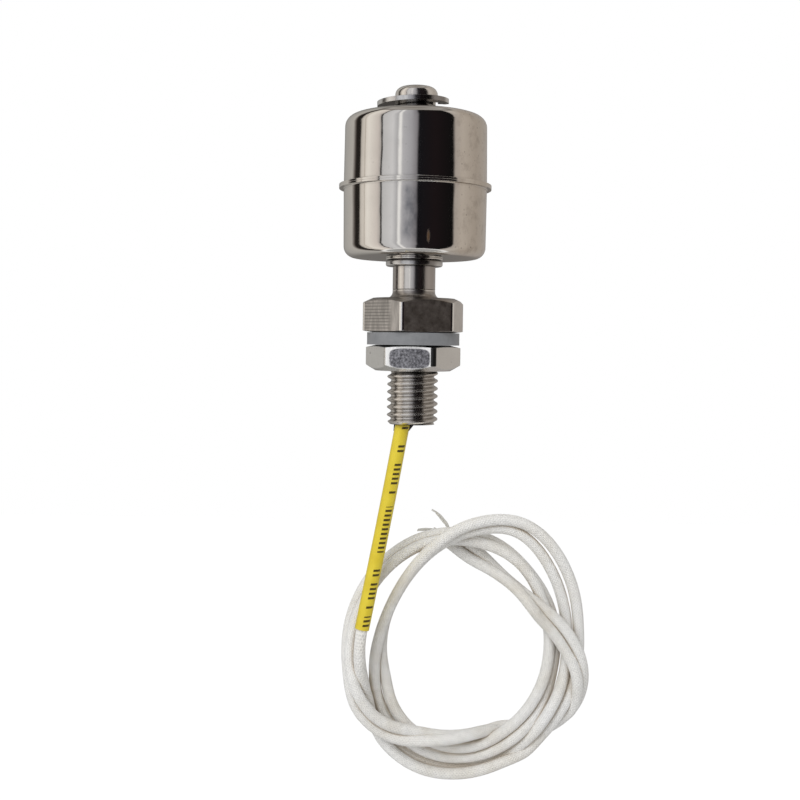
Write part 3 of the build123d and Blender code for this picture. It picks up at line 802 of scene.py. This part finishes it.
# The loose strands at each lead's stripped end
STRANDS_A = [
    [
        (8.35, 12.15, -41.6), (7.95, 11.9, -39.9), (6.7, 12.1, -38.2), (5.6, 11.9, -37.2),
        (4.5, 12.0, -36.6),
    ],
    [
        (8.15, 12.3, -41.6), (7.7, 12.3, -39.9), (6.7, 11.9, -38.9), (6.0, 12.2, -37.9),
        (5.4, 12.0, -37.3),
    ],
    [
        (8.3, 12.0, -41.6), (8.1, 12.1, -39.8), (7.0, 12.3, -38.6), (6.0, 12.0, -37.4),
        (5.0, 12.1, -36.9),
    ],
]
STRANDS_B = [
    [(4.7, 11.75, -40.6), (3.5, 11.6, -40.45), (2.6, 11.8, -40.6), (1.7, 11.6, -40.7)],
    [(4.7, 11.9, -40.85), (3.6, 11.8, -40.7), (2.7, 11.6, -40.85), (1.5, 11.7, -40.9)],
]


def smooth_knots(knots, step):
    """Points at even angles along a smooth curve through the knots."""
    points = []
    angle = knots[0][0]
    while angle < knots[-1][0]:
        index = max(i for i in range(len(knots) - 1) if knots[i][0] <= angle)
        before = knots[max(index - 1, 0)]
        start, end = knots[index], knots[index + 1]
        after = knots[min(index + 2, len(knots) - 1)]
        span = end[0] - start[0]
        share = (angle - start[0]) / span
        values = []
        for part in (1, 2):
            slope_start = (end[part] - before[part]) / (end[0] - before[0]) * span
            slope_end = (after[part] - start[part]) / (after[0] - start[0]) * span
            values.append(
                (2 * share**3 - 3 * share**2 + 1) * start[part]
                + (share**3 - 2 * share**2 + share) * slope_start
                + (3 * share**2 - 2 * share**3) * end[part]
                + (share**3 - share**2) * slope_end
            )
        points.append((angle, *values))
        angle += step
    points.append(knots[-1])
    return points


def coil_point(angle, radius, depth):
    """A coil place seen from the front, set back or forward along its line of sight."""
    turn = radians(angle + COIL_TILT)
    x = COIL_MIDDLE_X + radius * cos(turn)
    z = COIL_MIDDLE_Z + radius * sin(turn)
    spread = (CAMERA_DISTANCE + depth) / (CAMERA_DISTANCE + COIL_PLANE)
    return (CAMERA_X + (x - CAMERA_X) * spread, depth, CAMERA_Z + (z - CAMERA_Z) * spread)


def tube(name, diameter, runs, bevel_resolution, resolution_u):
    """Round tubes that follow each run's points, on smooth NURBS splines."""
    curve = bpy.data.curves.new(name, "CURVE")
    curve.dimensions = "3D"
    curve.bevel_depth = diameter / 2 * MM
    curve.bevel_resolution = bevel_resolution
    curve.resolution_u = resolution_u
    curve.use_fill_caps = True
    for run in runs:
        spline = curve.splines.new("NURBS")
        spline.points.add(len(run) - 1)
        for target, place in zip(spline.points, run):
            target.co = (*(v * MM for v in place), 1)
        spline.order_u = 3
        spline.use_endpoint_u = True
    return add_object(name, curve)


def build_lead(name, route, knots, pieces):
    """A braided lead as one tube, and its length in millimetres."""
    points = route + [coil_point(*place) for place in smooth_knots(knots, COIL_STEP)]
    length = sum((Vector(b) - Vector(a)).length for a, b in zip(points, points[1:]))
    print(name, "length along its points", round(length, 1), "mm")
    lead = tube(name, LEAD_DIAMETER, [points], bevel_resolution=5, resolution_u=3)
    lead.data.materials.append(braid_material(name + "_braid", length))
    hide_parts(*pieces)
    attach(lead, "stem")
    return lead, length


def build_strands(name, strands, replaced):
    """A stripped end: loose tinned strands, each following its own points."""
    end = tube(name, STRAND_DIAMETER, strands, bevel_resolution=3, resolution_u=6)
    end.data.materials.append(tinned)
    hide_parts(replaced)
    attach(end, "stem")
    return end


strands_a = build_strands("lead_a_strands", STRANDS_A, "lead_a_bare_end")
strands_b = build_strands("lead_b_strands", STRANDS_B, "lead_b_bare_end")
lead_a, length_a = build_lead("lead_a", LEAD_A_ROUTE, COIL_A, ("lead_a_run", "lead_coil"))
lead_b, length_b = build_lead("lead_b", LEAD_B_ROUTE, COIL_B, ("lead_b_run", "lead_coil"))

# Camera

CAMERA_TILT, CAMERA_LENS, CAMERA_SHIFT = -0.8, 52.7, -0.075

camera_data = bpy.data.cameras.new("camera")
camera = add_object("camera", camera_data)
camera.location = (CAMERA_X * MM, -CAMERA_DISTANCE * MM, CAMERA_Z * MM)
camera.rotation_euler = (radians(90), radians(CAMERA_TILT), 0)
camera_data.lens = CAMERA_LENS
camera_data.sensor_width = 36
camera_data.shift_y = CAMERA_SHIFT
camera_data.clip_start = 0.01
camera_data.clip_end = 10
scene.camera = camera

# Light and background, with sizes in metres

# The sky's strength as light on the object, and where it is seen
SKY_LIGHT, SKY_SEEN = 0.6, 1.0
KEY_PLACE, KEY_TARGET, KEY_SIZE, KEY_POWER = (-0.25, -0.6, 0.35), (0.0, 0.0, -0.02), 0.5, 3.2

scene.view_settings.view_transform = "Standard"
world = bpy.data.worlds.new("world")
scene.world = world
world.use_nodes = True
sky = world.node_tree
background = sky.nodes["Background"]
strength = math_node(sky, "MULTIPLY_ADD", seen_share(sky), SKY_SEEN - SKY_LIGHT, SKY_LIGHT)
feed(sky, grey(1), background.inputs["Color"])
feed(sky, strength, background.inputs["Strength"])

key_data = bpy.data.lights.new("key", "AREA")
key_data.shape = "RECTANGLE"
key_data.size = key_data.size_y = KEY_SIZE
key_data.energy = KEY_POWER
key = add_object("key", key_data)
key.location = KEY_PLACE
key_aim = Vector(KEY_TARGET) - Vector(KEY_PLACE)
key.rotation_euler = key_aim.to_track_quat("-Z", "Y").to_euler()
key.visible_camera = False
key.visible_glossy = False

SURROUND_RADIUS, SURROUND_RIPPLE = 0.45, 0.012
# Direction round the stem in degrees, 0 towards the camera and positive to its right, and colour
SURROUND_BANDS = [
    (-179, (0.16, 0.15, 0.14)),
    (-150, (0.40, 0.39, 0.37)),
    (-120, (0.52, 0.50, 0.47)),
    (-113, (0.14, 0.12, 0.11)),
    (-109, (0.02, 0.017, 0.015)),
    (-99, (0.02, 0.017, 0.015)),
    (-96, (0.60, 0.56, 0.51)),
    (-89, (0.78, 0.73, 0.67)),
    (-87.5, (0.42, 0.37, 0.32)),
    (-86, (0.84, 0.79, 0.73)),
    (-80, (0.92, 0.88, 0.82)),
    (-62, (0.72, 0.66, 0.62)),
    (-57.5, (0.50, 0.47, 0.45)),
    (-56.5, (0.01, 0.01, 0.01)),
    (-54.5, (0.01, 0.01, 0.01)),
    (-53.5, (0.62, 0.62, 0.63)),
    (-36, (0.74, 0.74, 0.76)),
    (-29, (0.48, 0.48, 0.50)),
    (-27, (1.0, 1.0, 1.0)),
    (-24, (0.95, 0.95, 0.95)),
    (-22, (0.55, 0.55, 0.58)),
    (-8, (0.42, 0.42, 0.45)),
    (1, (0.26, 0.25, 0.27)),
    (4, (0.009, 0.009, 0.011)),
    (30, (0.013, 0.009, 0.010)),
    (61, (0.006, 0.006, 0.006)),
    (64, (0.47, 0.43, 0.40)),
    (78, (0.58, 0.54, 0.50)),
    (110, (0.46, 0.42, 0.38)),
    (140, (0.46, 0.43, 0.40)),
    (160, (0.42, 0.39, 0.37)),
    (179, (0.14, 0.13, 0.12)),
]


def surround_material():
    """A glow in bands round the stem, with a darker ceiling and a grey floor."""
    material, tree = new_material("surround")
    tree.nodes.clear()
    place = object_place(tree)
    split = node(tree, "ShaderNodeSeparateXYZ", Vector=place).outputs
    turn = math_node(tree, "ARCTAN2", split["X"], product(tree, split["Y"], -1.0))
    # 0 is straight behind on the left, 0.5 is the camera's side, 1 is straight behind on the right
    around = math_node(tree, "MULTIPLY_ADD", turn, 1 / (2 * pi), 0.5)
    ripple = noise(tree, place, scale=5.0, detail=2.0)
    wave = math_node(tree, "MULTIPLY_ADD", ripple, SURROUND_RIPPLE, -SURROUND_RIPPLE / 2)
    bands = [(0.5 + angle / 360, colour) for angle, colour in SURROUND_BANDS]
    tone = ramp(tree, math_node(tree, "ADD", around, wave), bands)
    # 0 is the lowest point and 1 the highest
    height = math_node(tree, "MULTIPLY_ADD", split["Z"], 1 / (2 * SURROUND_RADIUS), 0.5)
    ceiling = ramp(
        tree, height,
        [(0.95, (0.20, 0.185, 0.17)), (0.97, (0.44, 0.42, 0.40)), (1.0, (0.26, 0.24, 0.22))],
    )
    tone = mixed(tree, ramp(tree, height, [(0.93, grey(0)), (0.95, grey(1))]), tone, ceiling)
    floor = ramp(tree, height, [(0.0, grey(0.36)), (0.046, grey(0.42)), (0.052, grey(0.95))])
    tone = mixed(tree, ramp(tree, height, [(0.062, grey(1)), (0.072, grey(0))]), tone, floor)
    glow = node(tree, "ShaderNodeEmission", Color=tone, Strength=1.0)
    node(tree, "ShaderNodeOutputMaterial", Surface=glow.outputs["Emission"])
    return material


def build_surround():
    """What the polished metal reflects, and nothing else sees."""
    mesh = bpy.data.meshes.new("surround")
    bm = bmesh.new()
    bmesh.ops.create_uvsphere(bm, u_segments=48, v_segments=24, radius=SURROUND_RADIUS)
    bm.to_mesh(mesh)
    bm.free()
    mesh.materials.append(surround_material())
    surround = add_object("surround", mesh)
    surround.visible_camera = False
    surround.visible_diffuse = False
    surround.visible_shadow = False
    surround.visible_transmission = False


build_surround()

FLOOR_HALF, FLOOR_HEIGHT, FLOOR_GLOW = 3.0, -0.5, 0.5


def build_floor():
    """A wide light floor under the gauge."""
    mesh = bpy.data.meshes.new("floor")
    corners = [(x * FLOOR_HALF, y * FLOOR_HALF) for x, y in ((-1, -1), (1, -1), (1, 1), (-1, 1))]
    mesh.from_pydata([(x, y, FLOOR_HEIGHT) for x, y in corners], [], [(0, 1, 2, 3)])
    material, tree = new_material("floor")
    fill_shader(tree, {
        "Base Color": grey(0.85),
        "Roughness": 0.9,
        "Emission Color": grey(1),
        "Emission Strength": product(tree, seen_share(tree), FLOOR_GLOW),
    })
    mesh.materials.append(material)
    add_object("floor", mesh)


build_floor()
